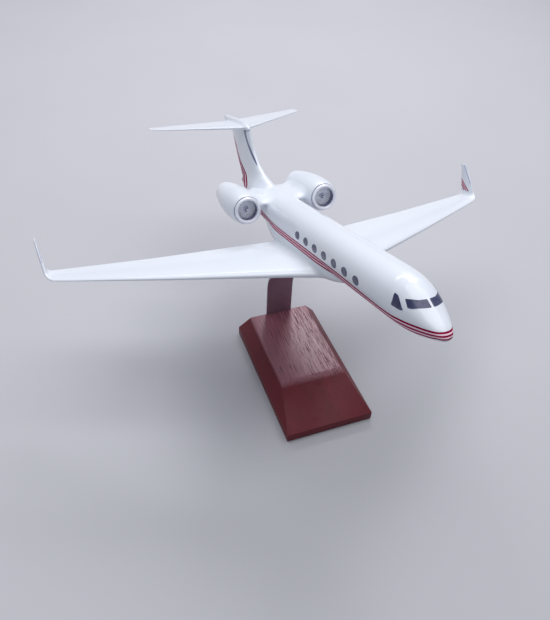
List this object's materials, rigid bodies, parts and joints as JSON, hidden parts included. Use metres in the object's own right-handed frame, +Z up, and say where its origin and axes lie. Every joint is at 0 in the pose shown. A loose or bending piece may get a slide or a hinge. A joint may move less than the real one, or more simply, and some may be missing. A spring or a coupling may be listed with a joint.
{
  "type": "desk model airplane on a stand",
  "caption": "Twin-engined T-tail business jet model, held nose-up on a bent metal strap above a bevelled hardwood block; the aircraft lifts off its locating pins.",
  "frame": {"origin": "middle of the felt's underside, where the stand meets the table", "axes": "+X towards the aircraft's nose and the block's long slope, +Y to the aircraft's port side, +Z up"},
  "size_m": [0.6125, 0.5974, 0.3303],
  "materials": {
    "stained_wood": "satin",
    "felt": "matt",
    "strap_steel": "satin",
    "screw_steel": "bright",
    "pin_steel": "bright",
    "plate_alloy": "satin",
    "bush_brass": "bright",
    "gloss_white": "gloss",
    "lip_white": "gloss",
    "dark_glazing": "gloss",
    "fan_grey": "satin",
    "spinner_grey": "gloss",
    "exhaust_grey": "satin"
  },
  "bodies": {
    "stand": {"wood_base": "stained_wood", "base_felt": "felt", "support_strap": "strap_steel", "strap_screws": "screw_steel", "locating_pins": "pin_steel"},
    "aircraft": {"fuselage": "gloss_white", "cabin_windows": "dark_glazing", "cockpit_windows": "dark_glazing", "belly_fairing": "gloss_white", "belly_plate": "plate_alloy", "plate_screws": "screw_steel", "socket_bushes": "bush_brass", "wing_spars": "pin_steel", "starboard_wing": "gloss_white", "port_wing": "gloss_white", "winglet_dowels": "pin_steel", "starboard_winglet": "gloss_white", "port_winglet": "gloss_white", "fin": "gloss_white", "tail_bullet": "gloss_white", "starboard_tailplane": "gloss_white", "port_tailplane": "gloss_white", "tailplane_dowels": "pin_steel", "starboard_pylon": "gloss_white", "port_pylon": "gloss_white", "starboard_nacelle": "gloss_white", "port_nacelle": "gloss_white", "starboard_intake_lip": "lip_white", "port_intake_lip": "lip_white", "starboard_fan": "fan_grey", "port_fan": "fan_grey", "starboard_spinner": "spinner_grey", "port_spinner": "spinner_grey", "starboard_exhaust": "exhaust_grey", "port_exhaust": "exhaust_grey"}
  },
  "joints": [
    {"name": "aircraft_lift", "type": "slide", "parent": "stand", "child": "aircraft", "axis": [-0.342, 0, 0.9397], "range_m": [0, 0.03]}
  ]
}
